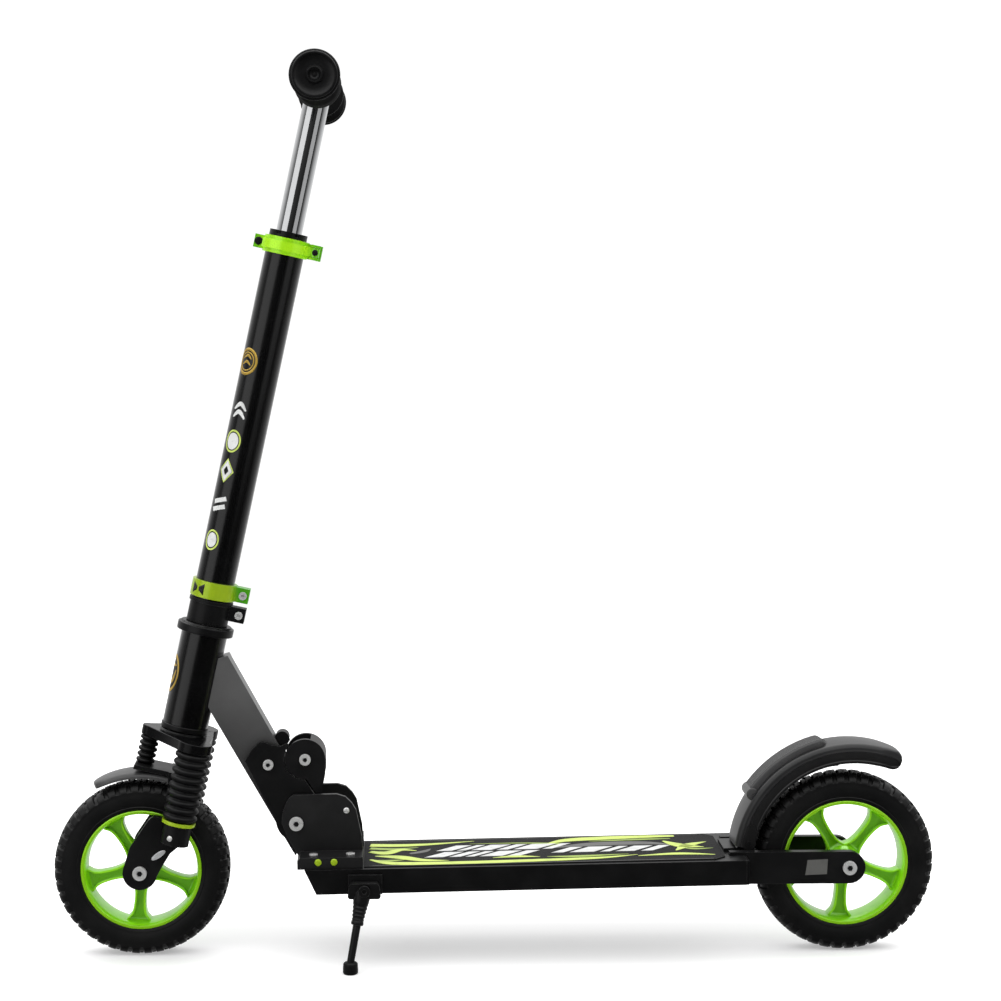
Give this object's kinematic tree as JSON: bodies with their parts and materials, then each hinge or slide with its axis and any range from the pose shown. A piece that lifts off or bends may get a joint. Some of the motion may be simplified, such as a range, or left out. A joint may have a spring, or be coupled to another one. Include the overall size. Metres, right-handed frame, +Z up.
{
  "type": "kick scooter",
  "caption": "Folding two-wheel kick scooter with suspension fork, sliding T-bar, rear foot brake and side stand.",
  "frame": {"origin": "on the ground, under the middle of the scooter's overall box", "axes": "+X towards the rear wheel, +Y to the rider's right, +Z up"},
  "size_m": [1.012, 0.358, 1.0113],
  "materials": {
    "deck_black": "satin black powder coat",
    "grip_sheet": "printed anti-slip sheet, dark grey with lime shapes",
    "black_plastic": "moulded black plastic",
    "guard_plastic": "dark grey satin moulded plastic",
    "bracket_black": "matt black paint",
    "satin_grey": "satin dark grey paint",
    "gloss_black": "gloss black paint",
    "green_metal": "bright lime anodised metal",
    "yellow_green_metal": "yellow-green anodised metal",
    "chrome": "polished chrome plate",
    "steel": "zinc-plated steel",
    "spring_steel": "drawn spring wire",
    "aluminium": "machined",
    "black_rubber": "matt moulded rubber",
    "tyre_rubber": "matt tread rubber",
    "rim_green": "glossy lime moulded wheel"
  },
  "bodies": {
    "deck": {"deck_body": "deck_black", "deck_grip": "grip_sheet", "deck_end_caps": "black_plastic", "hinge_base": "bracket_black", "deck_screws": "steel", "fold_bolt": "steel", "rear_arm_left": "bracket_black", "rear_arm_right": "bracket_black", "rear_axle_set": "steel", "brake_bracket": "black_plastic", "brake_pivot_pin": "bracket_black", "brake_spring": "spring_steel", "stand_bracket": "bracket_black", "stand_bolt": "bracket_black"},
    "neck": {"neck_beam": "satin_grey", "neck_plates": "bracket_black", "neck_screws": "steel", "neck_bumper": "black_rubber", "head_tube": "gloss_black", "headset_cups": "black_plastic", "headset_bearings": "steel", "catch_bolt": "steel", "catch_spring": "spring_steel"},
    "catch": {"catch_lever": "bracket_black"},
    "stem": {"fork_crown": "black_plastic", "fork_steerer": "steel", "fork_stanchions": "steel", "fork_springs": "spring_steel", "fork_bellows": "black_rubber", "strut_rod": "steel", "strut_bellows": "black_rubber", "collar": "bracket_black", "clamp_screws": "steel", "stem_tube": "gloss_black", "stem_adapter": "aluminium", "stem_bush": "black_plastic", "lower_clamp": "yellow_green_metal", "upper_clamp": "green_metal", "lever_pin": "steel"},
    "quick_release": {"clamp_lever": "green_metal"},
    "t_bar": {"slider_tube": "chrome", "slider_glide": "black_plastic", "handlebar": "chrome", "grips": "black_rubber", "bar_end_caps": "black_plastic"},
    "lower_fork": {"fork_lower_legs": "bracket_black", "fork_rings": "yellow_green_metal", "front_fender": "black_plastic", "front_axle_set": "steel"},
    "front_wheel": {"front_rim": "rim_green", "front_tyre": "tyre_rubber", "front_bearings": "steel"},
    "rear_wheel": {"rear_rim": "rim_green", "rear_tyre": "tyre_rubber", "rear_bearings": "steel"},
    "rear_brake": {"rear_guard": "guard_plastic", "brake_pad": "black_plastic", "brake_shoe": "black_rubber"},
    "stand": {"stand_leg": "bracket_black", "stand_foot": "black_rubber"}
  },
  "joints": [
    {"name": "fold", "type": "hinge", "parent": "deck", "child": "neck", "pos_m": [-0.2295, 0, 0.1553], "axis": [0, 1, 0], "range_deg": [0, 75]},
    {"name": "catch_release", "type": "hinge", "parent": "neck", "child": "catch", "pos_m": [-0.22, 0, 0.2269], "axis": [0, -1, 0], "range_deg": [0, 30], "stiffness_Nm_per_rad": 0.3, "springref_deg": -11.46},
    {"name": "steering", "type": "hinge", "parent": "neck", "child": "stem", "pos_m": [-0.3924, 0, 0.09711], "axis": [0.2079, 0, 0.9781], "range_deg": [-30, 30]},
    {"name": "clamp_open", "type": "hinge", "parent": "stem", "child": "quick_release", "pos_m": [-0.20831, -0.0185, 0.79969], "axis": [0.2079, 0, 0.9781], "range_deg": [0, 100]},
    {"name": "bar_height", "type": "slide", "parent": "stem", "child": "t_bar", "axis": [0.2079, 0, 0.9781], "range_m": [-0.12, 0.05]},
    {"name": "suspension", "type": "slide", "parent": "stem", "child": "lower_fork", "axis": [0.2079, 0, 0.9781], "range_m": [0, 0.014], "stiffness_N_per_m": 8000, "springref_m": -0.006, "deforming": ["fork_springs", "fork_bellows", "strut_bellows"]},
    {"name": "front_wheel_spin", "type": "hinge", "parent": "lower_fork", "child": "front_wheel", "pos_m": [-0.406, 0, 0.1], "axis": [0, 1, 0], "continuous": true},
    {"name": "rear_wheel_spin", "type": "hinge", "parent": "deck", "child": "rear_wheel", "pos_m": [0.402, 0, 0.104], "axis": [0, 1, 0], "continuous": true},
    {"name": "brake_press", "type": "hinge", "parent": "deck", "child": "rear_brake", "pos_m": [0.288, 0, 0.129], "axis": [0, 1, 0], "range_deg": [0, 3.8], "stiffness_Nm_per_rad": 20, "springref_deg": -2.86},
    {"name": "stand_fold", "type": "hinge", "parent": "deck", "child": "stand", "pos_m": [-0.152, -0.08, 0.091], "axis": [0, -1, 0], "range_deg": [0, 100]}
  ]
}
